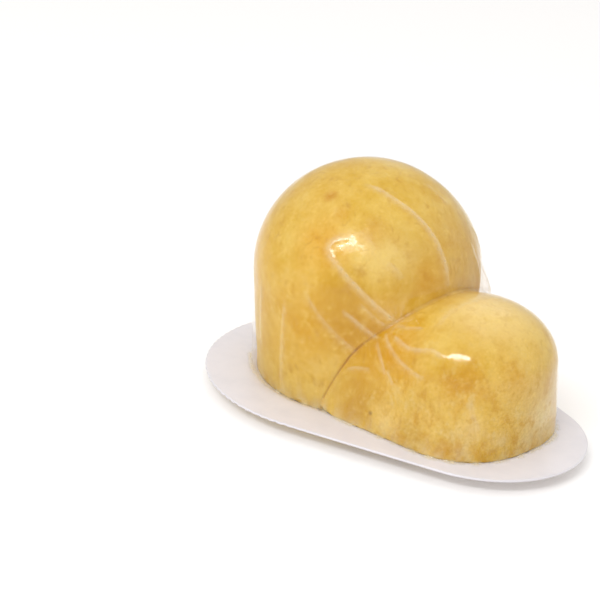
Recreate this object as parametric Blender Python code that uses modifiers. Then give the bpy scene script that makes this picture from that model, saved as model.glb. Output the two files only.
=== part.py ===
"""A small smoked cheese of two lobes, sealed under clear film on a pear-shaped backing.

The pack lies on its backing, whose middle bulges down to a small flat spot, so that the
flange round it stands a little above the surface. +X runs from the large body lobe to the
small head lobe, and +Z is up. The origin is under the middle of the backing, on the surface.
"""

import math

import bmesh
import bpy
from mathutils import Vector

# Backing: its outline is a large and a small circle joined by straight sides.
WIDE_RADIUS = 0.0455
NARROW_RADIUS = 0.0300
CENTRE_DISTANCE = 0.0475
WEB_THICKNESS = 0.0006
FLAT_RIM_WIDTH = 0.0120  # the flange, before the web starts to bulge
BULGE_WIDTH = 0.0120  # from the flange in to the flat spot
BULGE_DEPTH = 0.0041
BULGE_STEPS = 6
OUTLINE_SEGMENTS = 96

# Where the lobes stand, along X from the middle of the wide end.
BODY_X = (WIDE_RADIUS - CENTRE_DISTANCE - NARROW_RADIUS) / 2
HEAD_X = BODY_X + 0.0426
HEAD_FOOT_X = BODY_X + 0.0411
SHOULDER_X = BODY_X + 0.0192

# Lobes: half lengths along X, Y and Z, and the height of each middle above the flange.
BODY_RADII = (0.0337, 0.0329, 0.0324)
BODY_MIDDLE = 0.0326
HEAD_RADII = (0.0229, 0.0233, 0.0166)
HEAD_MIDDLE = 0.0204
SHOULDER_RADII = (0.0222, 0.0255, 0.0174)
SHOULDER_MIDDLE = 0.0148

# Feet: where the film meets the flange under each lobe, as half lengths along X and Y.
BODY_FOOT = (0.0333, 0.0303)
HEAD_FOOT = (0.0240, 0.0266)
SHOULDER_FOOT = (0.0207, 0.0292)
ROUND_FOOT = 2.0  # an ellipse
SQUARED_FOOT = 2.4  # a slightly squared ellipse

# The belly fills the backing's bulge under the lobes.
BELLY_INSET = 0.0155
BELLY_OVERLAP = 0.0050

GAP = 0.0003
FLANGE_TOP = WEB_THICKNESS + BULGE_DEPTH
FOOT_HEIGHT = FLANGE_TOP + GAP
LOBE_SEGMENTS = 40
LOBE_RINGS = 26
FOOT_SEGMENTS = 48
SMOOTH_ANGLE = math.radians(35)


def clear_scene():
    for item in list(bpy.data.objects):
        bpy.data.objects.remove(item, do_unlink=True)


def make_collection(name):
    collection = bpy.data.collections.new(name)
    bpy.context.scene.collection.children.link(collection)
    return collection


def make_material(name, colour, roughness):
    material = bpy.data.materials.new(name)
    material.use_nodes = True
    shader = material.node_tree.nodes["Principled BSDF"]
    shader.inputs["Base Color"].default_value = (*colour, 1.0)
    shader.inputs["Roughness"].default_value = roughness
    shader.inputs["Metallic"].default_value = 0.0
    return material


def make_object(name, shape, collection, material=None):
    """Turns a bmesh into a smooth-shaded object with one material."""
    mesh = bpy.data.meshes.new(name)
    shape.to_mesh(mesh)
    shape.free()
    mesh.shade_smooth()
    mesh.set_sharp_from_angle(angle=SMOOTH_ANGLE)
    if material:
        mesh.materials.append(material)
    item = bpy.data.objects.new(name, mesh)
    collection.objects.link(item)
    return item


def pear_face(shape, height, inset=0.0):
    """One flat face with the backing's outline, drawn in by inset."""
    ring = bmesh.ops.create_circle(shape, cap_ends=True, segments=OUTLINE_SEGMENTS, radius=1.0)["verts"]
    side_angle = math.acos((WIDE_RADIUS - NARROW_RADIUS) / CENTRE_DISTANCE)
    for corner in ring:
        outward = Vector((corner.co.x, corner.co.y, 0.0))
        on_narrow_end = abs(math.atan2(outward.y, outward.x)) < side_angle
        middle_x = BODY_X + (CENTRE_DISTANCE if on_narrow_end else 0.0)
        radius = (NARROW_RADIUS if on_narrow_end else WIDE_RADIUS) - inset
        corner.co = Vector((middle_x, 0.0, height)) + radius * outward
    face = ring[0].link_faces[0]
    if face.normal.z < 0:
        face.normal_flip()
    return face


def drop_at(share):
    """How far the web has bulged down, from 0 at the flange to BULGE_DEPTH at the flat spot."""
    return BULGE_DEPTH * share * share * (3 - 2 * share)


def sink_bulge(shape, face, start_share):
    """Sinks the face in rings along the bulge's curve, from start_share of its width to the flat spot."""
    width = BULGE_WIDTH * (1 - start_share) / BULGE_STEPS
    for step in range(BULGE_STEPS):
        before = start_share + (1 - start_share) * step / BULGE_STEPS
        after = start_share + (1 - start_share) * (step + 1) / BULGE_STEPS
        bmesh.ops.inset_region(
            shape,
            faces=[face],
            thickness=width,
            depth=drop_at(before) - drop_at(after),
            use_even_offset=True,
            use_boundary=True,
        )


def make_backing(collection):
    shape = bmesh.new()
    face = pear_face(shape, FLANGE_TOP)
    face.normal_update()
    bmesh.ops.inset_region(
        shape, faces=[face], thickness=FLAT_RIM_WIDTH, use_even_offset=True, use_boundary=True
    )
    sink_bulge(shape, face, start_share=0.0)
    backing = make_object(
        "backing", shape, collection, make_material("backing", (0.86, 0.86, 0.87), 0.35)
    )
    wall = backing.modifiers.new("wall", "SOLIDIFY")
    wall.thickness = WEB_THICKNESS
    wall.offset = -1.0
    wall.use_even_offset = True
    return backing


def dome_points(middle_x, middle_height, radii):
    """The points of an ellipsoid that lie above the flange."""
    dome = bmesh.new()
    bmesh.ops.create_uvsphere(dome, u_segments=LOBE_SEGMENTS, v_segments=LOBE_RINGS, radius=1.0)
    bmesh.ops.scale(dome, verts=dome.verts, vec=Vector(radii))
    bmesh.ops.translate(
        dome, verts=dome.verts, vec=Vector((middle_x, 0.0, FLANGE_TOP + middle_height))
    )
    points = [corner.co.copy() for corner in dome.verts if corner.co.z > FOOT_HEIGHT + GAP]
    dome.free()
    return points


def foot_points(middle_x, radii, squareness):
    """A ring on the flange: an ellipse, squared off where squareness is over 2."""
    ring = bmesh.new()
    bmesh.ops.create_circle(ring, segments=FOOT_SEGMENTS, radius=1.0)
    points = []
    for corner in ring.verts:
        x, y = corner.co.x, corner.co.y
        reach = (abs(x) ** squareness + abs(y) ** squareness) ** (-1 / squareness)
        points.append(Vector((middle_x + radii[0] * reach * x, radii[1] * reach * y, FOOT_HEIGHT)))
    ring.free()
    return points


def make_lobe(name, points, collection, material=None):
    """The film drawn tight over the points: their convex hull."""
    shape = bmesh.new()
    for point in points:
        shape.verts.new(point)
    hull = bmesh.ops.convex_hull(shape, input=shape.verts)
    inside = [item for item in hull["geom_interior"] if isinstance(item, bmesh.types.BMVert)]
    bmesh.ops.delete(shape, geom=inside, context="VERTS")
    bmesh.ops.recalc_face_normals(shape, faces=shape.faces)
    return make_object(name, shape, collection, material)


def make_belly(collection):
    """A plug with the bulge's own curve, a gap above the web, that reaches up into the lobes."""
    shape = bmesh.new()
    start_share = (BELLY_INSET - FLAT_RIM_WIDTH) / BULGE_WIDTH
    top = FOOT_HEIGHT + BELLY_OVERLAP
    face = pear_face(shape, FOOT_HEIGHT - drop_at(start_share), inset=BELLY_INSET)
    face.normal_update()
    sink_bulge(shape, face, start_share)
    rim_edges = [item for item in shape.edges if item.is_boundary]
    wall = bmesh.ops.extrude_edge_only(shape, edges=rim_edges)["geom"]
    for corner in (item for item in wall if isinstance(item, bmesh.types.BMVert)):
        corner.co.z = top
    lid_edges = [item for item in wall if isinstance(item, bmesh.types.BMEdge) and item.is_boundary]
    bmesh.ops.edgeloop_fill(shape, edges=lid_edges)
    bmesh.ops.recalc_face_normals(shape, faces=shape.faces)
    return make_object("belly_guide", shape, collection)


def join_to(target, guide):
    """Unites the guide with the target and hides the guide."""
    union = target.modifiers.new("join_" + guide.name, "BOOLEAN")
    union.operation = "UNION"
    union.solver = "EXACT"
    union.object = guide
    guide.hide_render = True
    guide.display_type = "WIRE"


def make_cheese(parts, guides):
    body_points = dome_points(BODY_X, BODY_MIDDLE, BODY_RADII)
    body_points += foot_points(BODY_X, BODY_FOOT, ROUND_FOOT)
    head_points = dome_points(HEAD_X, HEAD_MIDDLE, HEAD_RADII)
    head_points += dome_points(SHOULDER_X, SHOULDER_MIDDLE, SHOULDER_RADII)
    head_points += foot_points(HEAD_FOOT_X, HEAD_FOOT, SQUARED_FOOT)
    head_points += foot_points(SHOULDER_X, SHOULDER_FOOT, ROUND_FOOT)
    cheese = make_lobe(
        "cheese_in_film", body_points, parts, make_material("cheese", (0.80, 0.52, 0.13), 0.25)
    )
    join_to(cheese, make_lobe("head_guide", head_points, guides))
    join_to(cheese, make_belly(guides))
    return cheese


def main():
    clear_scene()
    parts = make_collection("smoked_cheese_pack")
    guides = make_collection("guides")
    make_backing(parts)
    make_cheese(parts, guides)


main()
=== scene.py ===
import math

import bmesh
import bpy
import numpy as np
from mathutils import Matrix, Vector, noise
from mathutils.bvhtree import BVHTree


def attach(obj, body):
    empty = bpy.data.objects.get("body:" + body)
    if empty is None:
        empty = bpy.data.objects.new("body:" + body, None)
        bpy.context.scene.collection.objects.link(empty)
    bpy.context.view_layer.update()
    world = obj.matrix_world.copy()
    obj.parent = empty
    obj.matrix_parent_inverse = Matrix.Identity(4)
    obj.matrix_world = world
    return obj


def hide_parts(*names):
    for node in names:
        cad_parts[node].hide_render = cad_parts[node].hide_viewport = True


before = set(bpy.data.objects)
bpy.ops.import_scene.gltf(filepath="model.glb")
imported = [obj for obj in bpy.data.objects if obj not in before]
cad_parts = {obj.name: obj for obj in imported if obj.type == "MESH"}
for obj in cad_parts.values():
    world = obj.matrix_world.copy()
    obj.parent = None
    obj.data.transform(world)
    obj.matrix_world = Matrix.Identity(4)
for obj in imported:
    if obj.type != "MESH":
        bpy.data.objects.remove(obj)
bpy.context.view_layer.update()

# Every shape below is worked out in millimetres, in the frame's own axes, and turned to metres at the end.
millimetre = 0.001

# The backing's outline is a large and a small circle joined by straight sides.
outline = {
    "wideRadius": 45.5,
    "narrowRadius": 30.0,
    "centreDistance": 47.5,
    "wideX": -16.0,
    "flangeTop": 4.7,
    "thickness": 0.6,
    "flatRim": 12.0,
    "dishWidth": 12.0,
    "dishDepth": 4.1,
}

lobes = {
    "body": {"centre": (-16.0, 0.0, 37.3), "radii": (33.7, 32.9, 32.4)},
    "head": {"centre": (26.6, 0.0, 25.1), "radii": (22.9, 23.3, 16.6)},
    "shoulder": {"centre": (3.2, 0.0, 19.5), "radii": (22.2, 25.5, 17.4)},
    "headMiddle": (15.0, 0.0, 15.0),  # well inside the head and its shoulder
    "domeStart": 0.4,  # how far above the foot a dome begins
    "footSquareness": {"body": 2.0, "head": 2.4, "shoulder": 2.0},  # 2 is an ellipse
}

# How finely the lobes' hulls are drawn, and how the line between them is searched for: its longitudes
# and latitudes as first, past the last and step, in degrees.
segmentCounts = {"foot": 160, "domeRound": 120, "domeUp": 72}
creaseSearch = {"turns": (-80.0, 80.5, 1.0), "rises": (-48.0, 40.0, 2.0), "halvings": 8}
routeMargin = 8.0  # how far round a route the distances to it are worked out


class Wire:
    # One socket of a material's nodes. Sums on it add Math nodes, and node() adds any other node.
    def __init__(self, tree, socket=None):
        self.tree = tree
        self.socket = socket

    def node(self, kind, settings=None, inputs=None, output=0):
        made = self.tree.nodes.new("ShaderNode" + kind)
        for key, value in (settings or {}).items():
            setattr(made, key, value)
        for key, value in (inputs or {}).items():
            if isinstance(value, Wire):
                self.tree.links.new(value.socket, made.inputs[key])
            else:
                made.inputs[key].default_value = value
        return Wire(self.tree, made.outputs[output] if made.outputs else None)

    def sum(self, operation, first, second):
        return self.node("Math", {"operation": operation}, {0: first, 1: second})

    def __add__(self, other):
        return self.sum("ADD", self, other)

    def __radd__(self, other):
        return self.sum("ADD", other, self)

    def __sub__(self, other):
        return self.sum("SUBTRACT", self, other)

    def __rsub__(self, other):
        return self.sum("SUBTRACT", other, self)

    def __mul__(self, other):
        return self.sum("MULTIPLY", self, other)

    def __rmul__(self, other):
        return self.sum("MULTIPLY", other, self)

    def __truediv__(self, other):
        return self.sum("DIVIDE", self, other)

    def __pow__(self, other):
        return self.sum("POWER", self, other)

    def __abs__(self):
        return self.sum("ABSOLUTE", self, 0.0)

    def larger(self, other):
        return self.sum("MAXIMUM", self, other)

    def smaller(self, other):
        return self.sum("MINIMUM", self, other)

    def step(self, low, high):
        # 0 at low and 1 at high, smooth between them; low may be the larger.
        if low > high:
            return 1 - self.step(high, low)
        limits = {"Value": self, "From Min": low, "From Max": high}
        return self.node("MapRange", {"interpolation_type": "SMOOTHSTEP"}, limits)

    def mixed(self, first, second):
        # The second colour where this is 1, the first where it is 0.
        return self.node("Mix", {"data_type": "RGBA"}, {0: self, 6: first, 7: second}, output=2)


def startFinish(name):
    material = bpy.data.materials.new(name)
    material.use_nodes = True
    material.node_tree.nodes.clear()
    place = Wire(material.node_tree).node("TexCoord", output="Object")
    scaled = {0: place, "Scale": 1 / millimetre}
    return material, place.node("VectorMath", {"operation": "SCALE"}, scaled)


def cloudAt(place, size, detail=3.0, roughness=0.55, stretch=(1.0, 1.0, 1.0), shift=(0.0, 0.0, 0.0)):
    # A noise pattern whose blotches are about size millimetres across.
    turned = place.node("Mapping", {}, {"Vector": place, "Scale": stretch, "Location": shift})
    setting = {"Vector": turned, "Scale": 1 / size, "Detail": detail, "Roughness": roughness}
    return place.node("TexNoise", {}, setting, output="Fac")


def nearSpot(place, spot, reach):
    # 1 at the spot, falling to 0 at reach millimetres away.
    away = place.node("VectorMath", {"operation": "DISTANCE"}, {0: place, 1: spot}, output="Value")
    return away.step(reach, 0.0)


def shade(red, green, blue):
    # A colour picker's 0-255 values as a linear colour.
    linear = [((part / 255 + 0.055) / 1.055) ** 2.4 for part in (red, green, blue)]
    return (*linear, 1.0)


# Shapes that several pieces use.


def insetAt(x, y):
    # How far inside the backing's outline a point is, seen from above.
    tilt = math.acos((outline["wideRadius"] - outline["narrowRadius"]) / outline["centreDistance"])
    along = x - outline["wideX"]
    beside = np.abs(y)
    side = along * math.sin(tilt) - beside * math.cos(tilt)
    wide = outline["wideRadius"] - np.hypot(along, beside)
    narrow = outline["narrowRadius"] - np.hypot(along - outline["centreDistance"], beside)
    straight = outline["wideRadius"] - along * math.cos(tilt) - beside * math.sin(tilt)
    atHead = side > outline["centreDistance"] * math.sin(tilt)
    return np.where(side < 0, wide, np.where(atHead, narrow, straight))


def backingTop(x, y):
    # The height of the backing's upper face.
    share = np.clip((insetAt(x, y) - outline["flatRim"]) / outline["dishWidth"], 0.0, 1.0)
    return outline["flangeTop"] - outline["dishDepth"] * share * share * (3 - 2 * share)


def pearRing(shape, inset, height, segments):
    # A ring of vertices with the backing's outline, drawn in by inset.
    ring = bmesh.ops.create_circle(shape, segments=segments, radius=1.0)["verts"]
    tilt = math.acos((outline["wideRadius"] - outline["narrowRadius"]) / outline["centreDistance"])
    for corner in ring:
        outward = Vector((corner.co.x, corner.co.y, 0.0))
        atHead = abs(math.atan2(outward.y, outward.x)) < tilt
        radius = (outline["narrowRadius"] if atHead else outline["wideRadius"]) - inset
        middle = outline["wideX"] + (outline["centreDistance"] if atHead else 0.0)
        corner.co = Vector((middle, 0.0, height)) + radius * outward
    return ring


def footRing(shape, middleX, radii, squareness, height):
    # A ring of vertices where a lobe ends: an ellipse, squared off where squareness is over 2.
    ring = bmesh.ops.create_circle(shape, segments=segmentCounts["foot"], radius=1.0)["verts"]
    for corner in ring:
        x, y = corner.co.x, corner.co.y
        reach = (abs(x) ** squareness + abs(y) ** squareness) ** (-1 / squareness)
        corner.co = Vector((middleX + radii[0] * reach * x, radii[1] * reach * y, height))


def domeOf(shape, lobe, shrink, lowest):
    # The part of a lobe's ellipsoid above the height lowest.
    around, upward = segmentCounts["domeRound"], segmentCounts["domeUp"]
    ball = bmesh.ops.create_uvsphere(shape, u_segments=around, v_segments=upward, radius=1.0)["verts"]
    radii = Vector(lobes[lobe]["radii"]) - Vector((shrink,) * 3)
    bmesh.ops.scale(shape, verts=ball, vec=radii)
    bmesh.ops.translate(shape, verts=ball, vec=lobes[lobe]["centre"])
    under = [corner for corner in ball if corner.co.z < lowest]
    bmesh.ops.delete(shape, geom=under, context="VERTS")


def drawTight(shape):
    # Replaces what is in the shape by its convex hull.
    bmesh.ops.delete(shape, geom=shape.edges, context="EDGES_FACES")
    hull = bmesh.ops.convex_hull(shape, input=shape.verts)
    inside = [item for item in hull["geom_interior"] if isinstance(item, bmesh.types.BMVert)]
    bmesh.ops.delete(shape, geom=inside, context="VERTS")
    bmesh.ops.recalc_face_normals(shape, faces=shape.faces)
    return shape


def lobeHulls(feet, shrink, footHeight):
    # The film or the cheese as two tight hulls: the body, and the head with its shoulder.
    lowest = footHeight + lobes["domeStart"]
    squareness = lobes["footSquareness"]
    bodyX, shoulderX = lobes["body"]["centre"][0], lobes["shoulder"]["centre"][0]
    body = bmesh.new()
    domeOf(body, "body", shrink, lowest)
    footRing(body, bodyX, feet["body"], squareness["body"], feet.get("bodyHeight", footHeight))
    head = bmesh.new()
    domeOf(head, "head", shrink, lowest)
    domeOf(head, "shoulder", shrink, lowest)
    footRing(head, feet["headX"], feet["head"], squareness["head"], footHeight)
    footRing(head, shoulderX, feet["shoulder"], squareness["shoulder"], footHeight)
    return drawTight(body), drawTight(head)


def remeshed(shapes, voxel):
    # Joins closed shapes into one skin of even quads.
    joined = bpy.data.meshes.new("joined")
    whole = bmesh.new()
    for part in shapes:
        part.to_mesh(joined)
        whole.from_mesh(joined)
    whole.to_mesh(joined)
    whole.free()
    item = bpy.data.objects.new("joined", joined)
    bpy.context.scene.collection.objects.link(item)
    remesh = item.modifiers.new("skin", "REMESH")
    remesh.mode = "VOXEL"
    remesh.voxel_size = voxel
    graph = bpy.context.evaluated_depsgraph_get()
    skin = bmesh.new()
    skin.from_mesh(item.evaluated_get(graph).to_mesh())
    bpy.data.objects.remove(item, do_unlink=True)
    bpy.data.meshes.remove(joined)
    bmesh.ops.smooth_vert(
        skin, verts=skin.verts, factor=0.5, use_axis_x=True, use_axis_y=True, use_axis_z=True
    )
    return skin


def isInside(spot, tree, middle, slack=0.0):
    # Whether the spot is more than slack inside the convex shape that is round the middle.
    arm = spot - middle
    wall = tree.ray_cast(middle, arm.normalized())[0]
    if wall is None:  # the ray slipped between two faces
        wall = tree.ray_cast(middle, (arm + Vector((0.003, 0.002, 0.001))).normalized())[0]
    return arm.length < (wall - middle).length - slack


def settle(corners, trees):
    # Moves the vertices to the nearest place on the outside of the body's and the head's trees together.
    middles = [Vector(lobes["body"]["centre"]), Vector(lobes["headMiddle"])]
    for corner in corners:
        spots = []
        for tree, other, middle in zip(trees, trees[::-1], middles[::-1]):
            spot, _, _, distance = tree.find_nearest(corner.co)
            if not isInside(spot, other, middle, 0.02):
                spots.append((distance, spot))
        if spots:
            corner.co = min(spots, key=lambda item: item[0])[1]


def refine(shape, isNear):
    # Splits the faces whose middle isNear says yes to.
    middles = np.array([face.calc_center_median() for face in shape.faces])
    chosen = isNear(middles)
    edges = {edge for face, yes in zip(shape.faces, chosen) if yes for edge in face.edges}
    bmesh.ops.subdivide_edges(shape, edges=list(edges), cuts=1, use_grid_fill=True)


def alongRoute(points, route, outward=None):
    # How far each point is from the route, below 0 on its left if outward is given, and how far along
    # the route the nearest place is, from 0 to 1.
    best = np.full(len(points), 1e9)
    share = np.zeros(len(points))
    side = np.ones(len(points))
    steps = np.linalg.norm(np.diff(route, axis=0), axis=1)
    reached = np.concatenate([[0.0], np.cumsum(steps)])
    middle = (route.min(axis=0) + route.max(axis=0)) / 2
    near = np.flatnonzero(np.linalg.norm(points - middle, axis=1) < reached[-1] / 2 + routeMargin)
    close = points[near]
    for start, end, before, length in zip(route[:-1], route[1:], reached, steps):
        way = (end - start) / length
        arm = close - start
        along = np.clip(arm @ way, 0.0, length)
        away = np.linalg.norm(arm - along[:, None] * way, axis=1)
        closer = away < best[near]
        best[near[closer]] = away[closer]
        share[near[closer]] = ((before + along) / reached[-1])[closer]
        if outward is not None:
            turned = np.cross(way, outward[near])
            side[near[closer]] = np.sign(np.sum(arm * turned, axis=1))[closer]
    return best * side, share


def noiseAt(points, size, seed):
    # Smooth values from -1 to 1, whose waves are about size millimetres long.
    shift = Vector((seed * 17.3, seed * 9.1, seed * 5.7))
    return np.array([noise.noise(Vector(point) / size + shift) for point in points])


def wayOf(turn, rise):
    # The direction with that longitude and latitude in degrees.
    turn, rise = math.radians(turn), math.radians(rise)
    return Vector((math.cos(rise) * math.cos(turn), math.cos(rise) * math.sin(turn), math.sin(rise)))


def creaseRoute(trees):
    # The line where the body and the head meet, found by rays from the body's middle.
    body, head = trees
    centre = Vector(lobes["body"]["centre"])

    def bodyAt(turn, rise):
        spot = body.ray_cast(centre, wayOf(turn, rise))[0]
        return spot, isInside(spot, head, Vector(lobes["headMiddle"]))

    route = []
    rises = np.arange(*creaseSearch["rises"])
    for turn in np.arange(*creaseSearch["turns"]):
        buried = [rise for rise in rises if bodyAt(turn, rise)[1]]
        if not buried:
            continue
        low, high = buried[-1], buried[-1] + creaseSearch["rises"][2]
        for halving in range(creaseSearch["halvings"]):
            middle = (low + high) / 2
            spot, under = bodyAt(turn, middle)
            low, high = (middle, high) if under else (low, middle)
        route.append(tuple(spot))
    return np.array(route)


def makePiece(name, shape, finishes, node):
    bmesh.ops.scale(shape, verts=shape.verts, vec=(millimetre,) * 3)
    mesh = bpy.data.meshes.new(name)
    shape.to_mesh(mesh)
    shape.free()
    mesh.shade_smooth()
    for finish in finishes:
        mesh.materials.append(finish)
    piece = bpy.data.objects.new(name, mesh)
    bpy.context.scene.collection.objects.link(piece)
    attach(piece, "root")
    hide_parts(node)
    return piece


def moveCorners(shape, points):
    for corner, place in zip(shape.verts, points):
        corner.co = place


def storeMask(shape, name, values):
    layer = shape.verts.layers.float.new(name)
    for corner, value in zip(shape.verts, values):
        corner[layer] = value


# The cheese: a ball and a smaller, flatter head, pressed down into the backing's dish.
cheese = {
    "voxel": 0.85,
    "insideFilm": 0.16,
    "feet": {
        "body": (31.2, 28.9),
        "bodyHeight": 3.2,
        "headX": 25.1,
        "head": (23.9, 26.5),
        "shoulder": (20.6, 29.1),
    },
    "footHeight": 4.74,
    "plugInset": 17.4,
    "plugTop": 9.0,
    "plugSegments": 96,
    "overBacking": 0.03,
    "seamRefines": (2.6, 1.2, 0.6),  # reaches of the finer mesh beside the crease
    "footRefine": {"below": 6.0, "inset": 14.5},  # and of that low down, over the flange
    "settleSlack": 0.2,
    "lumps": ((18.0, 0.35), (7.0, 0.10)),  # size and height
    "highestLump": 0.06,
    "calmHeight": 3.0,  # the lumps fade out over this much above the foot
    "creaseWidth": 0.30,
    "creaseDepth": 0.3,
    # how wide the painted shade along the crease is
    "creaseShadeWidth": 0.22,
    "tones": {
        "pale": (225, 192, 98),
        "smoked": (205, 161, 34),
        "mottleDark": (192, 138, 22),
        "mottlePale": (238, 210, 120),
        "wisp": (172, 112, 22),
        "smearDark": (196, 144, 8),
        "smearPale": (218, 194, 124),
        "speckle": (168, 122, 26),
        "bloom": (234, 208, 142),
        # the crease tone is painted shade
        "crease": (158, 96, 20),
    },
}

# Where the smoke took differently, and where shade is painted: millimetres in the frame, reach, colour and
# strength.
smokeAndShadeSpots = [
    # painted shade and painted reflected light in the neck's valley
    {"at": (16.0, -23.0, 28.0), "reach": 19.0, "tone": (208, 150, 4), "strength": 0.85},
    {"at": (-8.0, -32.0, 30.0), "reach": 24.0, "tone": (206, 154, 12), "strength": 0.8},
    {"at": (-36.0, -28.0, 40.0), "reach": 22.0, "tone": (214, 164, 28), "strength": 0.6},
    {"at": (10.0, -16.0, 51.0), "reach": 13.0, "tone": (194, 152, 50), "strength": 0.6},
    {"at": (-17.0, -22.0, 61.5), "reach": 16.0, "tone": (206, 158, 40), "strength": 0.4},
    {"at": (30.5, -25.0, 14.0), "reach": 11.0, "tone": (190, 148, 44), "strength": 0.5},
    {"at": (-8.0, -28.0, 52.0), "reach": 13.0, "tone": (218, 158, 34), "strength": 0.55},
    # painted shade with a duller tone on the body's top, right of the arced pleat
    {"at": (16.0, 6.0, 50.0), "reach": 26.0, "tone": (208, 169, 96), "strength": 0.7},
    {"at": (12.0, 16.0, 36.0), "reach": 18.0, "tone": (196, 150, 70), "strength": 0.6},
    # painted shade beside the crease
    {"at": (15.0, -9.0, 45.0), "reach": 9.0, "tone": (206, 152, 34), "strength": 0.6},
    {"at": (8.0, -18.0, 51.0), "reach": 11.0, "tone": (230, 202, 124), "strength": 0.7},
    {"at": (33.0, -3.0, 41.0), "reach": 19.0, "tone": (237, 209, 142), "strength": 0.8},
    {"at": (48.0, 4.0, 22.0), "reach": 20.0, "tone": (206, 171, 104), "strength": 0.6},
    # deep amber on the shoulder's near flank: partly smoke tone, partly painted shade and painted yellow
    # reflected light
    {"at": (4.0, -26.5, 32.0), "reach": 15.0, "tone": (190, 138, 0), "strength": 0.9},
    {"at": (1.6, -27.6, 42.0), "reach": 10.0, "tone": (190, 142, 4), "strength": 0.7},
    {"at": (10.0, -27.0, 13.0), "reach": 13.0, "tone": (190, 140, 0), "strength": 0.8},
    {"at": (12.0, -17.1, 43.0), "reach": 7.5, "tone": (196, 148, 16), "strength": 0.6},
    {"at": (39.0, -19.5, 26.0), "reach": 10.0, "tone": (198, 144, 0), "strength": 0.95},
    {"at": (47.0, -8.0, 28.0), "reach": 9.0, "tone": (204, 150, 34), "strength": 0.6},
    {"at": (20.0, -27.0, 10.5), "reach": 8.0, "tone": (230, 198, 112), "strength": 0.75},
    {"at": (31.0, -25.0, 15.0), "reach": 7.0, "tone": (226, 190, 98), "strength": 0.5},
    {"at": (42.5, -18.5, 14.0), "reach": 6.0, "tone": (216, 184, 110), "strength": 0.85},
    {"at": (47.4, -11.7, 11.0), "reach": 4.5, "tone": (214, 182, 110), "strength": 0.7},
    {"at": (49.0, 4.5, 14.0), "reach": 10.0, "tone": (228, 210, 156), "strength": 0.8},
    {"at": (29.0, -26.0, 7.6), "reach": 6.0, "tone": (180, 138, 48), "strength": 0.6},
    {"at": (48.8, -2.5, 9.5), "reach": 6.0, "tone": (216, 190, 124), "strength": 0.7},
    {"at": (40.0, -22.0, 6.6), "reach": 8.0, "tone": (184, 132, 36), "strength": 0.7},
    {"at": (1.9, -18.3, 58.0), "reach": 6.0, "tone": (198, 144, 34), "strength": 0.5},
    {"at": (-14.0, -20.0, 63.0), "reach": 3.5, "tone": (186, 122, 22), "strength": 0.55},
    {"at": (-8.0, -22.0, 60.0), "reach": 4.0, "tone": (202, 142, 30), "strength": 0.45},
    {"at": (3.5, -24.5, 47.5), "reach": 3.0, "tone": (176, 124, 22), "strength": 0.5},
    {"at": (14.8, -27.2, 10.2), "reach": 1.0, "tone": (110, 76, 30), "strength": 0.7},
]

# Which marks come again on the far side, and how they differ there.
farSpots = {"reachOver": 8.0, "sideUnder": -8.0, "back": 5.0, "up": 3.0, "reach": 0.9}


def allSpots():
    # The near side's marks, and the large ones again on the far side, drawn back a little.
    made = list(smokeAndShadeSpots)
    for spot in smokeAndShadeSpots:
        x, y, z = spot["at"]
        if spot["reach"] > farSpots["reachOver"] and y < farSpots["sideUnder"]:
            at = (x - farSpots["back"], -y, z + farSpots["up"])
            made.append({**spot, "at": at, "reach": spot["reach"] * farSpots["reach"]})
    return made


def makeCheese():
    body, head = lobeHulls(cheese["feet"], cheese["insideFilm"], cheese["footHeight"])
    trees = [BVHTree.FromBMesh(body), BVHTree.FromBMesh(head)]
    plug = bmesh.new()
    inset, low = cheese["plugInset"], cheese["overBacking"]
    lowest = float(backingTop(outline["wideX"], outline["wideRadius"] - inset)) + low
    for height in (cheese["plugTop"], lowest):
        pearRing(plug, inset, height, cheese["plugSegments"])
    flatSpot = outline["flatRim"] + outline["dishWidth"]
    pearRing(plug, flatSpot, outline["thickness"] + low, cheese["plugSegments"])
    shape = remeshed([body, head, drawTight(plug)], cheese["voxel"])
    seam = creaseRoute(trees)
    for reach in cheese["seamRefines"]:
        refine(shape, lambda middles: alongRoute(middles, seam)[0] < reach)

    def isAtFoot(middles):
        low = middles[:, 2] < cheese["footRefine"]["below"]
        return low & (insetAt(middles[:, 0], middles[:, 1]) < cheese["footRefine"]["inset"])

    refine(shape, isAtFoot)
    lowest = cheese["feet"]["bodyHeight"] - cheese["settleSlack"]
    settle([corner for corner in shape.verts if corner.co.z > lowest], trees)
    shape.normal_update()
    points = np.array([corner.co for corner in shape.verts])
    outward = np.array([corner.normal for corner in shape.verts])
    lift = sum(height * noiseAt(points, size, seed) for seed, (size, height) in enumerate(cheese["lumps"]))
    away = alongRoute(points, seam)[0]
    groove = np.exp(-((away / cheese["creaseWidth"]) ** 2))
    calm = np.clip((points[:, 2] - cheese["footHeight"]) / cheese["calmHeight"], 0.0, 1.0)
    lift = np.minimum(lift, cheese["highestLump"]) * (1 - groove) * calm
    lift = lift - cheese["creaseDepth"] * groove * calm
    points = points + outward * lift[:, None]
    ground = backingTop(points[:, 0], points[:, 1]) + cheese["overBacking"]
    points[:, 2] = np.maximum(points[:, 2], ground)
    moveCorners(shape, points)
    # The crease mask marks where shade is painted along the crease.
    storeMask(shape, "crease", np.exp(-((away / cheese["creaseShadeWidth"]) ** 2)))
    print("cheese:", sum(len(face.verts) - 2 for face in shape.faces), "triangles")
    return makePiece("cheese", shape, [cheeseFinish()], "cheese_in_film")


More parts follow.
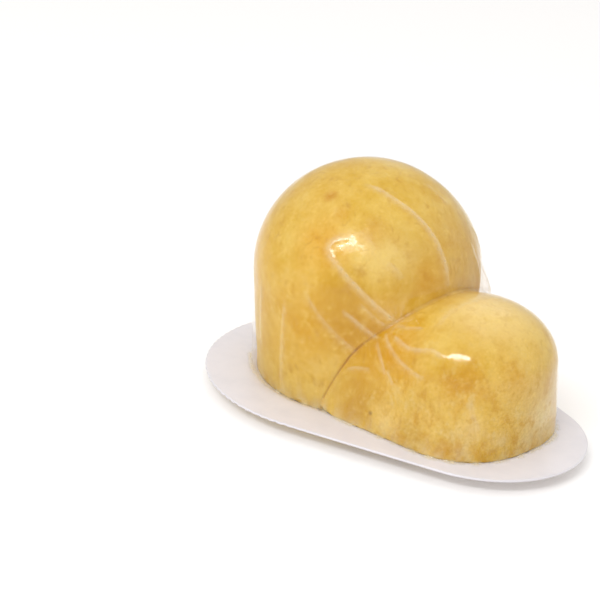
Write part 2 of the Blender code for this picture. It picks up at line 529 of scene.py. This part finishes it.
def cheeseFinish():
    material, place = startFinish("smokedRind")
    tones = {name: shade(*tone) for name, tone in cheese["tones"].items()}
    wide = cloudAt(place, 20.0, 3.0)
    patches = cloudAt(place, 6.5, 6.0, 0.65, shift=(31.0, 7.0, 3.0))
    mottle = cloudAt(place, 2.6, 5.0, 0.75, shift=(5.0, 3.0, 8.0))
    grain = cloudAt(place, 0.8, 4.0, 0.8)
    smoked = (wide * 1.5 + patches * 0.9 - 0.75).step(0.0, 0.95)
    base = smoked.mixed(tones["pale"], tones["smoked"])
    # Smoke tones and painted shade, spot by spot.
    for spot in allSpots():
        edge = nearSpot(place, spot["at"], spot["reach"]) * (patches * 1.6 + mottle * 0.8 - 0.2)
        base = (edge * spot["strength"]).larger(0.0).smaller(1.0).mixed(base, shade(*spot["tone"]))
    base = (mottle.step(0.50, 0.74) * 0.34).mixed(base, tones["mottleDark"])
    base = (mottle.step(0.48, 0.28) * 0.34).mixed(base, tones["mottlePale"])
    for size, strength, shift in ((7.0, 0.30, 4.0), (4.0, 0.26, 13.0)):
        wisp = cloudAt(place, size, 1.0, 0.5, stretch=(1.0, 1.0, 0.4), shift=(shift, 2.0, 9.0))
        some = cloudAt(place, 4.5, 3.0, shift=(9.0, shift * 3, 2.0)).step(0.52, 0.70)
        wisp = abs(wisp - 0.5).step(0.045, 0.0) * some
        base = (wisp * strength).mixed(base, tones["wisp"])
    broad = cloudAt(place, 11.0, 4.0, 0.6, shift=(7.0, 1.0, 5.0))
    height = place.node("SeparateXYZ", {}, {0: place}, output="Z") + broad * 40.0 - 20.0
    atHead = place.node("SeparateXYZ", {}, {0: place}, output="X").step(2.0, 30.0)
    headLow = height.step(40.0, 12.0) * atHead
    smear = cloudAt(place, 4.6, 5.0, 0.68, stretch=(1.0, 1.0, 0.8), shift=(11.0, 4.0, 6.0))
    base = (smear.step(0.50, 0.62) * (0.20 + headLow * 0.45)).mixed(base, tones["smearDark"])
    base = (smear.step(0.48, 0.34) * (0.14 + headLow * 0.40)).mixed(base, tones["smearPale"])
    speckle = grain.step(0.38, 0.68) * (0.10 + headLow * (0.08 + patches * 0.36))
    base = speckle.mixed(base, tones["speckle"])
    pale = cloudAt(place, 1.4, 4.0, 0.75, stretch=(1.0, 1.0, 0.6), shift=(2.0, 8.0, 1.0))
    base = (pale.step(0.50, 0.74) * (0.06 + headLow * 0.12)).mixed(base, tones["bloom"])
    # Brown painted shade along the crease, patchy.
    crease = place.node("Attribute", {"attribute_name": "crease"}, {}, output="Fac")
    base = (crease * (patches * 0.9 + 0.15)).mixed(base, tones["crease"])
    bump = place.node("Bump", {}, {"Strength": 0.15, "Distance": 0.0002, "Height": grain + patches * 0.5})
    skin = {
        "Base Color": base,
        "Roughness": 0.5 + grain * 0.1,
        "Normal": bump,
        "Subsurface Weight": 0.2,
        "Subsurface Radius": (1.0, 0.75, 0.3),
        "Subsurface Scale": 0.0016,
        "IOR": 1.4,
        "Specular IOR Level": 0.15,
    }
    shader = place.node("BsdfPrincipled", {}, skin)
    place.node("OutputMaterial", {}, {"Surface": shader})
    return material


# The film: clear, drawn tight over both lobes and sealed to the flange all round.
film = {
    "voxel": 1.0,
    "cutHeight": 5.6,
    "feet": {"body": (33.3, 30.3), "headX": 25.1, "head": (24.0, 26.6), "shoulder": (20.7, 29.2)},
    "footRings": ((0.08, 0.60), (0.22, 0.32), (0.45, 0.16), (0.80, 0.06), (1.30, 0.0)),
    "footBeads": 0.8,
    "footBeadSize": 2.6,
    # milky film at the seal, partly painted glints that also lighten the shaded foot, ring by ring
    "footHazeAndGlints": (0.55, 0.8, 0.7, 0.3, 0.0),
    "underShares": (0.94, 0.87, 0.79, 0.71, 0.63, 0.54, 0.38),
    "overBacking": 0.01,
    "pleatRefines": (2.0, 1.1),  # reaches of the finer mesh beside the pleats and the crease
    "seamRefine": 0.4,
    "slack": ((12.0, 0.26), (5.0, 0.09), (2.2, 0.03)),  # size and height
    "closest": -0.04,
    "loosest": 0.28,
    "calmHeight": 4.0,  # the foot stays smooth up to this much over the cut
    "seamCalm": 1.5,  # and the film this near the crease
    "pleat": {"sides": (1.2, 2.2), "hazeSides": (0.7, 1.9), "height": 0.6, "fade": 0.12},
    "gather": {
        "at": (13.0, -17.3, 34.0),
        "spokes": 6.5,
        "wander": 1.5,
        "calm": 1.5,
        "reach": 14.0,
        "height": 0.24,
        "haze": 0.45,
        "hazeReach": 3.5,
    },
    "clingAt": (1.0, -23.0, 54.0),
    # how wide the film's brown painted shade along the crease is
    "creaseShadeWidth": 0.5,
    "creaseOnTop": 0.17,  # half of its shown part, as a share of its length
    "skirtHaze": 0.55,
    "skirtHeight": 2.5,
    "spanAt": 0.67,
    "spanWidth": 0.08,
    "spanOnBody": 10.0,
    "spanOnHead": 4.0,
    "spanHeight": 3.6,
    "spanHaze": (0.25, 0.45),  # all over it, and in its stripes
    "spanStripes": 70.0,
    "milk": (248, 232, 190),
    # the colour of that painted shade
    "creaseShadeTone": (158, 92, 22),
}

# Pleats on the near side of each lobe, as (longitude, latitude) in degrees about its middle. Height
# and width are the ridge's, and haze is how milky the doubled film looks.
bodyPleats = [
    {"height": 0.24, "width": 0.62, "haze": 0.62, "route": [
        (-57, 31), (-60, 32), (-64, 31), (-68, 29), (-69, 25),
        (-64, 20), (-55, 13), (-44, 4), (-35, -3), (-29, -8)]},
    {"height": 0.18, "width": 0.55, "haze": 0.5, "route": [
        (-58, -2), (-53, -5), (-46, -10), (-41, -13), (-36, -15)]},
    {"height": 0.22, "width": 0.62, "haze": 0.66, "route": [
        (-63, 64), (-45, 62), (-31, 56), (-17, 46), (-9, 34), (-6, 23), (-5, 17), (-5, 8)]},
    {"height": 0.08, "width": 0.7, "haze": 0.25, "route": [(-38, 23), (-33, 19), (-30, 15)]},
    {"height": 0.26, "width": 0.5, "haze": 0.45, "route": [(21, 26), (22, 17), (21, 12), (19, 5)]},
    {"height": 0.30, "width": 0.5, "haze": 0.5, "route": [(36, 30), (39, 18), (40, 6), (38, -6)]},
    {"height": 0.10, "width": 0.7, "haze": 0.28, "route": [(18, 62), (19, 54), (18, 46)]},
    {"height": 0.12, "width": 0.5, "haze": 0.3, "route": [(-50, 3), (-42, -4), (-36, -8), (-30, -12)]},
    {"height": 0.12, "width": 0.6, "haze": 0.3, "route": [(-78, 4), (-68, -8), (-57, -17), (-48, -22)]},
]

headPleats = [
    {"height": 0.24, "width": 0.5, "haze": 0.55, "route": [
        (-122, 15), (-117, 15), (-105, 14), (-95, 16), (-85, 19), (-71, 17)]},
    {"height": 0.16, "width": 0.5, "haze": 0.42, "route": [(-122, 11), (-117, 9), (-102, 3), (-83, -1)]},
    {"height": 0.16, "width": 0.45, "haze": 0.35, "route": [(-132, -10), (-127, -8), (-121, -7)]},
    {"height": 0.16, "width": 0.45, "haze": 0.35, "route": [(-112, -4), (-104, -11)]},
    {"height": 0.22, "width": 0.4, "haze": 0.5, "route": [(-126, 14), (-121, 11), (-116, 9)]},
    {"height": 0.14, "width": 0.4, "haze": 0.4, "route": [(-128, 20), (-119, 23), (-110, 28), (-104, 30)]},
    {"height": 0.14, "width": 0.4, "haze": 0.4, "route": [(-126, 8), (-118, 1), (-111, -8)]},
    {"height": 0.08, "width": 0.9, "haze": 0.22, "route": [
        (88, 66), (-78, 87), (-97, 66), (-96, 48), (-90, 34)]},
    {"height": 0.08, "width": 0.7, "haze": 0.25, "route": [(-52, -7), (-48, -17), (-44, -25)]},
]

# Bearings of the upright pleats round the back of the body, in degrees.
backPleats = (-92, -112, -131, -152, -171, 168, 149, 127, 108, 88)


def allPleats():
    # The near side's pleats, like ones on the far side, and upright ones round the back of the body.
    near = [{**pleat, "lobe": "body"} for pleat in bodyPleats]
    near += [{**pleat, "lobe": "head"} for pleat in headPleats]
    made = list(near)
    for place, pleat in enumerate(near):
        if max(turn for turn, rise in pleat["route"]) > -28:
            continue
        drift = 5 * math.sin(place * 2.4)
        route = [(-turn * 0.97 + drift, rise * 0.93 - 2) for turn, rise in pleat["route"]]
        made.append({**pleat, "route": route})
    for place, turn in enumerate(backPleats):
        low = -46 + 9 * math.sin(place * 1.7)
        high = -4 + 14 * math.sin(place * 2.9)
        bend = 4 * math.sin(place * 3.3)
        route = [(turn, low), (turn + bend, (low + high) / 2), (turn + 2, high)]
        height = 0.18 + 0.08 * math.sin(place * 5.1)
        made.append({"lobe": "body", "height": height, "width": 0.6, "haze": 0.35, "route": route})
    return made


def routeOnFilm(pleat, trees):
    # The pleat's line on the film, as a smooth curve through its route.
    tree = trees[0] if pleat["lobe"] == "body" else trees[1]
    centre = Vector(lobes[pleat["lobe"]]["centre"])
    ways = [wayOf(*stop) for stop in pleat["route"]]
    line = []
    for place in range(len(ways) - 1):
        before, start = ways[max(place - 1, 0)], ways[place]
        end, after = ways[place + 1], ways[min(place + 2, len(ways) - 1)]
        for share in np.arange(0.0, 1.0, 0.2):
            way = 2 * start + (end - before) * share
            way = way + (2 * before - 5 * start + 4 * end - after) * share ** 2
            way = way + (3 * start - before - 3 * end + after) * share ** 3
            line.append(tuple(tree.ray_cast(centre, way.normalized())[0]))
    line.append(tuple(tree.ray_cast(centre, ways[-1])[0]))
    return np.array(line)


def makeFilm():
    body, head = lobeHulls(film["feet"], 0.0, outline["flangeTop"])
    trees = [BVHTree.FromBMesh(body), BVHTree.FromBMesh(head)]
    shape = remeshed([body, head], film["voxel"])
    pleats = allPleats()
    lines = [routeOnFilm(pleat, trees) for pleat in pleats]
    seam = creaseRoute(trees)

    def awayFromLines(middles):
        return np.min([alongRoute(middles, line)[0] for line in [*lines, seam]], axis=0)

    for reach in film["pleatRefines"]:
        refine(shape, lambda middles: awayFromLines(middles) < reach)
    refine(shape, lambda middles: alongRoute(middles, seam)[0] < film["seamRefine"])
    settle(shape.verts, trees)
    bmesh.ops.bisect_plane(
        shape,
        geom=[*shape.verts, *shape.edges, *shape.faces],
        plane_co=(0.0, 0.0, film["cutHeight"]),
        plane_no=(0.0, 0.0, 1.0),
        clear_inner=True,
    )
    shape.normal_update()
    points = np.array([corner.co for corner in shape.verts])
    outward = np.array([corner.normal for corner in shape.verts])
    high = np.clip((points[:, 2] - film["cutHeight"]) / film["calmHeight"], 0.0, 1.0)
    lift = sum(height * noiseAt(points, size, seed + 5) for seed, (size, height) in enumerate(film["slack"]))
    gathered, haze = gatherLift(points)
    away, along = alongRoute(points, seam)
    loose = np.clip(lift, film["closest"], film["loosest"]) + gathered
    lift = loose * np.clip(away / film["seamCalm"], 0.0, 1.0)
    fold = film["pleat"]
    for pleat, line in zip(pleats, lines):
        beside, share = alongRoute(points, line, outward)
        width = np.where(beside < 0, *fold["sides"]) * pleat["width"]
        fade = np.clip(np.minimum(share, 1 - share) / fold["fade"], 0.0, 1.0)
        lift = lift + fold["height"] * pleat["height"] * fade * np.exp(-((beside / width) ** 2))
        soft = np.where(beside < 0, *fold["hazeSides"]) * pleat["width"]
        haze = np.maximum(haze, pleat["haze"] * fade * np.exp(-((beside / soft) ** 2)))
    # On the far side the film spans the valley from the body to the head.
    spanned = np.exp(-(((along - film["spanAt"]) / film["spanWidth"]) ** 2))
    beside = alongRoute(points, seam, outward)[0]
    reach = np.where(beside < 0, film["spanOnBody"], film["spanOnHead"])
    taut = spanned * np.clip(1 - np.abs(beside) / reach, 0.0, 1.0)
    between = outward[taut > 0.5].mean(axis=0)
    plain, striped = film["spanHaze"]
    stripes = np.abs(np.sin(along * film["spanStripes"])) ** 3
    haze = np.maximum(haze, np.sqrt(taut) * (plain + striped * stripes))
    upright = points * (1.0, 1.0, 0.3)
    patchy = np.clip(noiseAt(upright, 3.0, 9) * 2 + 0.4, 0.0, 1.0)
    skirt = np.exp((film["cutHeight"] - points[:, 2]) / film["skirtHeight"]) * patchy
    haze = np.maximum(haze, film["skirtHaze"] * skirt)
    moved = points + outward * (lift * high)[:, None]
    moved += between / np.linalg.norm(between) * (film["spanHeight"] * taut)[:, None]
    moveCorners(shape, moved)
    # The film carries the crease's painted shade only on top, where the head hides the cheese's own.
    onTop = np.exp(-((np.abs(along - 0.5) / film["creaseOnTop"]) ** 4))
    storeMask(shape, "haze", haze)
    storeMask(shape, "crease", np.exp(-((away / film["creaseShadeWidth"]) ** 2)) * onTop * (1 - spanned))
    storeMask(shape, "bonded", np.zeros(len(points)))
    sealFoot(shape)
    print("film:", sum(len(face.verts) - 2 for face in shape.faces), "triangles")
    return makePiece("film", shape, [filmFinish()], "cheese_in_film")


def gatherLift(points):
    # Fine creases that run out from where the film is gathered at the neck, on both sides.
    gather = film["gather"]
    total = np.zeros(len(points))
    milky = np.zeros(len(points))
    for side in (1.0, -1.0):
        centre = np.array(gather["at"]) * (1.0, side, 1.0)
        arm = points - centre
        away = np.linalg.norm(arm, axis=1)
        turn = np.arctan2(arm[:, 2], arm[:, 0] + 0.6 * arm[:, 1] * side)
        crest = np.abs(np.sin(turn * gather["spokes"] + gather["wander"] * np.sin(turn * 2.0 + side))) ** 3
        near = np.clip(away / gather["calm"], 0.0, 1.0)
        strength = near * np.clip(1 - away / gather["reach"], 0.0, 1.0) ** 1.5
        total += gather["height"] * strength * crest
        milky += gather["haze"] * crest * np.exp(-((away / gather["hazeReach"]) ** 2))
    return total, milky


def sealFoot(shape):
    # Rings that carry the film out on the flange, then back under the cheese along the backing.
    bonded = shape.verts.layers.float["bonded"]
    haze = shape.verts.layers.float["haze"]
    rim = [edge for edge in shape.edges if edge.is_boundary]
    ways = {}
    for corner in {corner for edge in rim for corner in edge.verts}:
        ways[corner] = Vector((corner.normal.x, corner.normal.y, 0.0)).normalized()
    before = 0.0
    for place, (reach, height) in enumerate(film["footRings"]):
        made = bmesh.ops.extrude_edge_only(shape, edges=rim)["geom"]
        rim = [item for item in made if isinstance(item, bmesh.types.BMEdge) and item.is_boundary]
        moved = {}
        for corner in (item for item in made if isinstance(item, bmesh.types.BMVert)):
            linked = [edge.other_vert(corner) for edge in corner.link_edges]
            moved[corner] = next(ways[other] for other in linked if other in ways)
            bead = noise.noise(Vector((corner.co.x, corner.co.y, 0.0)) / film["footBeadSize"])
            corner.co += moved[corner] * (reach - before) * (1 + film["footBeads"] * bead)
            ground = float(backingTop(corner.co.x, corner.co.y)) + film["overBacking"]
            corner.co.z = ground + (film["cutHeight"] - ground) * height
            corner[bonded] = place / (len(film["footRings"]) - 1)
            # milky film and painted glints on the foot rings
            corner[haze] = film["footHazeAndGlints"][place] * min(max(0.7 + 1.6 * bead, 0.0), 1.0)
        ways = moved
        before = reach
    before = 1.0
    for share in film["underShares"]:
        made = bmesh.ops.extrude_edge_only(shape, edges=rim)["geom"]
        rim = [item for item in made if isinstance(item, bmesh.types.BMEdge) and item.is_boundary]
        for corner in (item for item in made if isinstance(item, bmesh.types.BMVert)):
            middle = min(max(corner.co.x, outline["wideX"]), film["feet"]["headX"])
            corner.co.x = middle + (corner.co.x - middle) * share / before
            corner.co.y *= share / before
            corner.co.z = float(backingTop(corner.co.x, corner.co.y)) + film["overBacking"]
            corner[bonded] = 1.0
            corner[haze] = 0.0
        before = share
    bmesh.ops.edgeloop_fill(shape, edges=rim)
    bmesh.ops.recalc_face_normals(shape, faces=shape.faces)


def filmFinish():
    material, place = startFinish("clearFilm")
    haze = place.node("Attribute", {"attribute_name": "haze"}, {}, output="Fac")
    bonded = place.node("Attribute", {"attribute_name": "bonded"}, {}, output="Fac")
    streaks = cloudAt(place, 1.8, 3.0, 0.6)
    ripple = cloudAt(place, 3.0, 2.0)
    bump = place.node("Bump", {}, {"Strength": 0.3, "Distance": 0.0002, "Height": ripple + streaks * 0.25})
    # Where the film clings to the fat it shines less, in patches.
    clinging = nearSpot(place, film["clingAt"], 11.0) * cloudAt(place, 2.4, 3.0).step(0.66, 0.44)
    dull = 0.1 + clinging * 0.28 + cloudAt(place, 8.0, 3.0, shift=(3.0, 1.0, 2.0)).step(0.5, 0.8) * 0.1
    gloss = place.node("BsdfGlossy", {}, {"Color": (1.0, 1.0, 1.0, 1.0), "Roughness": dull, "Normal": bump})
    clear = place.node("BsdfTransparent", {}, {"Color": (1.0, 1.0, 1.0, 1.0)})
    facing = place.node("LayerWeight", {}, {"Blend": 0.5}, output="Facing")
    mirror = (facing ** 5.0 * 0.9 + 0.038) * (1 - bonded)
    skin = place.node("MixShader", {}, {0: mirror, 1: clear, 2: gloss})
    milk = place.node("BsdfPrincipled", {}, {"Base Color": shade(*film["milk"]), "Roughness": 0.2})
    cloudy = haze * (0.6 + streaks.step(0.3, 0.7) * 0.4) * 0.6
    pleated = place.node("MixShader", {}, {0: cloudy, 1: skin, 2: milk})
    # Brown painted shade along the crease.
    crease = place.node("Attribute", {"attribute_name": "crease"}, {}, output="Fac")
    brown = {"Base Color": shade(*film["creaseShadeTone"]), "Roughness": 0.6, "Specular IOR Level": 0.2}
    creaseShadeSkin = place.node("BsdfPrincipled", {}, brown)
    whole = place.node("MixShader", {}, {0: crease * 0.75, 1: pleated, 2: creaseShadeSkin})
    place.node("OutputMaterial", {}, {"Surface": whole})
    return material


# The backing: a thin web, white above and printed below, with scallops cut in its wide sides.
backing = {
    "rings": (
        0.35, 0.9, 1.6, 3.0, 5.0, 7.5, 10.0, 12.0, 13.5,
        15.0, 16.5, 18.0, 19.5, 21.0, 22.5, 24.0, 27.0,
    ),
    "ringSegments": 300,
    "sideCuts": 90,
    "scallopLength": 3.0,
    "scallopDepth": 0.4,
    "scallopReach": 1.6,  # how far in from the rim the scallops are felt
    "tones": ((228, 224, 228), (220, 217, 222)),
}


def makeBacking():
    shape = bmesh.new()
    pearRing(shape, 0.0, 0.0, backing["ringSegments"])
    longest = sorted(shape.edges, key=lambda edge: edge.calc_length())[-2:]
    bmesh.ops.subdivide_edges(shape, edges=longest, cuts=backing["sideCuts"])
    face = bmesh.ops.contextual_create(shape, geom=shape.edges)["faces"][0]
    before = 0.0
    for inset in backing["rings"]:
        step = inset - before
        bmesh.ops.inset_region(shape, faces=[face], thickness=step, use_even_offset=True, use_boundary=True)
        before = inset
    points = np.array([corner.co for corner in shape.verts])
    points[:, 2] = backingTop(points[:, 0], points[:, 1])
    deep = insetAt(points[:, 0], points[:, 1])
    turn = np.arctan2(points[:, 1], points[:, 0] - outline["wideX"])
    notch = 1 - np.abs(np.sin(turn * outline["wideRadius"] * math.pi / backing["scallopLength"]))
    wideSide = np.clip((6.0 - points[:, 0]) / 8.0, 0.0, 1.0)
    pull = backing["scallopDepth"] * notch * wideSide * np.clip(1 - deep / backing["scallopReach"], 0.0, 1.0)
    points[:, 0] -= np.cos(turn) * pull
    points[:, 1] -= np.sin(turn) * pull
    moveCorners(shape, points)
    storeMask(shape, "inset", deep)
    shape.normal_update()
    if face.normal.z < 0:
        bmesh.ops.reverse_faces(shape, faces=shape.faces)
    piece = makePiece("backing_web", shape, [webFinish(), printFinish()], "backing")
    wall = piece.modifiers.new("wall", "SOLIDIFY")
    wall.thickness = outline["thickness"] * millimetre
    wall.offset = -1.0
    wall.use_even_offset = True
    wall.material_offset = 1
    return piece


def webFinish():
    material, place = startFinish("whiteWeb")
    soft = cloudAt(place, 9.0, 3.0)
    fine = cloudAt(place, 1.2, 3.0, 0.6)
    lighter, darker = (shade(*tone) for tone in backing["tones"])
    base = soft.step(0.3, 0.8).mixed(lighter, darker)
    bump = place.node("Bump", {}, {"Strength": 0.15, "Distance": 0.0002, "Height": soft + fine * 0.2})
    skin = {"Base Color": base, "Roughness": 0.3 + fine * 0.1, "Normal": bump}
    shader = place.node("BsdfPrincipled", {}, skin)
    place.node("OutputMaterial", {}, {"Surface": shader})
    return material


# The print below, seen with the narrow end up: up is X and across is Y, in millimetres.
printing = {
    "border": 7.0,
    "white": (238, 236, 239),
    "yellow": (240, 208, 52),
    "pale": (247, 233, 160),
    "blue": (28, 44, 138),
    "red": (200, 40, 44),
    "ink": (58, 54, 44),
    "titles": ((19.0, 26.5, -25.0, 25.0), (7.5, 15.0, -28.0, 24.0)),
    "tagline": (2.2, 4.2, -2.0, 27.0),
    "words": (-33.0, -4.0, -33.0, -3.0),
    "table": (-31.0, -5.0, 3.0, 33.0),
    "tableDivide": 24.0,
    "lineStep": 2.1,
    "rowStep": 2.6,
    "barBox": (-53.0, -43.0, -15.0, 13.0),
    "bars": (-51.5, -45.0, -13.0, 11.0),
    "barStep": 0.55,
    "ring": (-38.5, 25.0, 4.2),
    "ringTone": (120, 138, 96),
}


def barMask(up, across, sides, soft=0.12):
    # 1 inside an upright rectangle: lowest, highest, left and right.
    low, high, left, right = sides
    tall = up.step(low - soft, low + soft) * up.step(high + soft, high - soft)
    return tall * across.step(left - soft, left + soft) * across.step(right + soft, right - soft)


def printFinish():
    material, place = startFinish("printedWeb")
    up = place.node("SeparateXYZ", {}, {0: place}, output="X")
    across = place.node("SeparateXYZ", {}, {0: place}, output="Y")
    inset = place.node("Attribute", {"attribute_name": "inset"}, {}, output="Fac")
    soft = cloudAt(place, 9.0, 3.0)
    white, ink = shade(*printing["white"]), shade(*printing["ink"])
    dropRound = abs((up - 12.0) / 30.0) ** 2.0 + abs(across / 19.0) ** 2.0
    low = (up - 12.0).step(6.0, -22.0)
    drop = dropRound.step(1.05, 0.8) * (1 - low * 0.6)
    base = drop.mixed(shade(*printing["yellow"]), shade(*printing["pale"]))
    field = inset.step(printing["border"] - 0.3, printing["border"] + 0.3) * up.step(38.0, 24.0)
    base = field.mixed(white, base)
    for title in printing["titles"]:
        rim = (title[0] - 0.8, title[1] + 0.8, title[2] - 0.8, title[3] + 0.8)
        base = barMask(up, across, rim).mixed(base, white)
        base = barMask(up, across, title).mixed(base, shade(*printing["blue"]))
    base = barMask(up, across, printing["tagline"]).mixed(base, shade(*printing["red"]))
    # Rows of short dashes stand for the small print.
    line = up / printing["lineStep"]
    row = line.sum("FLOOR", line, 0.0)
    ragged = place.node("TexWhiteNoise", {"noise_dimensions": "1D"}, {"W": row}, output="Value")
    gaps = place.node("CombineXYZ", {}, {"X": row * 7.3, "Y": across / 1.9})
    gaps = place.node("TexNoise", {}, {"Vector": gaps, "Scale": 1.0, "Detail": 1.0}, output="Fac")
    dash = (line - row).step(0.28, 0.34) * (line - row).step(0.72, 0.66) * gaps.step(0.36, 0.42)
    ending = (across + ragged * ragged * 9.0).step(-3.2, -3.6)
    words = dash * barMask(up, across, printing["words"]) * ending
    base = (words * 0.8).mixed(base, ink)
    # A ruled table beside them.
    lowest, highest, left, right = printing["table"]
    inside = barMask(up, across, printing["table"])
    rule = (up - lowest) / printing["rowStep"]
    nearRule = abs(rule - rule.sum("ROUND", rule, 0.0))
    edging = 1 - barMask(up, across, (lowest + 0.3, highest - 0.3, left + 0.3, right - 0.3))
    divide = abs(across - printing["tableDivide"]).step(0.2, 0.08)
    lines = nearRule.step(0.08, 0.03).larger(edging).larger(divide) * inside
    entry = nearRule.step(0.24, 0.30) * inside * gaps.step(0.40, 0.46)
    column = printing["tableDivide"]
    entry = entry * across.step(column - 6.0, column - 6.6).larger(across.step(column + 2.0, column + 2.4))
    base = (lines.larger(entry * 0.75) * 0.85).mixed(base, ink)
    # A white box of plain bars, and a plain ring.
    base = barMask(up, across, printing["barBox"]).mixed(base, white)
    stripe = across / printing["barStep"]
    stripe = {"W": stripe.sum("FLOOR", stripe, 0.0)}
    stripe = place.node("TexWhiteNoise", {"noise_dimensions": "1D"}, stripe, output="Value")
    base = (stripe.step(0.48, 0.52) * barMask(up, across, printing["bars"])).mixed(base, ink)
    ringUp, ringAcross, ringSize = printing["ring"]
    apart = (abs(up - ringUp) ** 2.0 + abs(across - ringAcross) ** 2.0) ** 0.5
    base = apart.step(ringSize + 0.1, ringSize - 0.1).mixed(base, white)
    base = (abs(apart - ringSize + 0.7).step(0.7, 0.55) * 0.8).mixed(base, shade(*printing["ringTone"]))
    wrinkle = cloudAt(place, 2.5, 3.0)
    bump = place.node("Bump", {}, {"Strength": 0.25, "Distance": 0.0003, "Height": soft + wrinkle * 0.3})
    skin = {"Base Color": base, "Roughness": 0.2 + soft * 0.1, "Normal": bump}
    shader = place.node("BsdfPrincipled", {}, skin)
    place.node("OutputMaterial", {}, {"Surface": shader})
    return material


# The stage: a pale floor, soft light and the camera at the photograph's viewing angle.
stage = {
    "focalPixels": 1400.0,
    "pictureSide": 600.0,
    "sensorWidth": 36.0,
    "cameraPlace": (241.5, -287.2, 175.1),
    "lookAt": (-20.2, -22.4, 30.5),
    "roll": 4.68,
    "skyStrength": 0.72,
    "floorSize": 3.0,  # metres
    "floorTone": (0.93, 0.93, 0.93, 1.0),
    "floorGlow": (0.085, 0.068, 0.052, 1.0),
    "lampsAimAt": (0.0, 0.0, 0.03),  # metres
}

# Turn is the lamp's bearing in degrees from -Y towards +X, rise its angle above the floor, and roll its
# turn about its own beam. Distance and size are in metres.
lamps = {
    "overhead": {
        "turn": 200.0,
        "rise": 80.0,
        "roll": 20.0,
        "distance": 1.6,
        "size": (3.0, 3.0),
        "power": 13.0,
    },
    "frontBox": {
        "turn": 16.0,
        "rise": 42.0,
        "roll": 20.0,
        "distance": 0.8,
        "size": (0.40, 0.10),
        "power": 2.4,
    },
}


def makeCamera():
    lens = bpy.data.cameras.new("camera")
    lens.sensor_width = stage["sensorWidth"]
    lens.lens = stage["focalPixels"] / stage["pictureSide"] * lens.sensor_width
    camera = bpy.data.objects.new("camera", lens)
    bpy.context.scene.collection.objects.link(camera)
    place = Vector(stage["cameraPlace"]) * millimetre
    aim = Vector(stage["lookAt"]) * millimetre - place
    turn = aim.to_track_quat("-Z", "Y").to_matrix().to_4x4()
    roll = Matrix.Rotation(math.radians(stage["roll"]), 4, "Z")
    camera.matrix_world = Matrix.Translation(place) @ turn @ roll
    bpy.context.scene.camera = camera


def makeLamp(name, lamp):
    light = bpy.data.lights.new(name, "AREA")
    light.shape = "RECTANGLE"
    light.size, light.size_y = lamp["size"]
    light.energy = lamp["power"]
    item = bpy.data.objects.new(name, light)
    way = wayOf(lamp["turn"] - 90.0, lamp["rise"])
    item.location = Vector(stage["lampsAimAt"]) + way * lamp["distance"]
    turn = (-way).to_track_quat("-Z", "Y").to_matrix()
    roll = Matrix.Rotation(math.radians(lamp["roll"]), 3, "Z")
    item.rotation_euler = (turn @ roll).to_euler()
    item.visible_glossy = name != "overhead"  # its reflection would show as a large square
    bpy.context.scene.collection.objects.link(item)


def makeStage():
    shape = bmesh.new()
    bmesh.ops.create_grid(shape, x_segments=8, y_segments=8, size=stage["floorSize"])
    mesh = bpy.data.meshes.new("floor")
    shape.to_mesh(mesh)
    shape.free()
    material, place = startFinish("paleFloor")
    skin = {
        "Base Color": stage["floorTone"],
        "Roughness": 0.8,
        "Emission Color": stage["floorGlow"],
        "Emission Strength": 1.0,
    }
    shader = place.node("BsdfPrincipled", {}, skin)
    place.node("OutputMaterial", {}, {"Surface": shader})
    mesh.materials.append(material)
    floor = bpy.data.objects.new("floor", mesh)
    bpy.context.scene.collection.objects.link(floor)
    world = bpy.data.worlds.new("studio")
    world.use_nodes = True
    sky = world.node_tree.nodes["Background"]
    sky.inputs["Color"].default_value = (1.0, 1.0, 1.0, 1.0)
    sky.inputs["Strength"].default_value = stage["skyStrength"]
    bpy.context.scene.world = world
    bpy.context.scene.view_settings.view_transform = "Standard"
    for name, lamp in lamps.items():
        makeLamp(name, lamp)


makeCamera()
makeStage()
print("stage done")
makeBacking()
print("backing done")
makeCheese()
print("cheese done")
makeFilm()
print("film done")
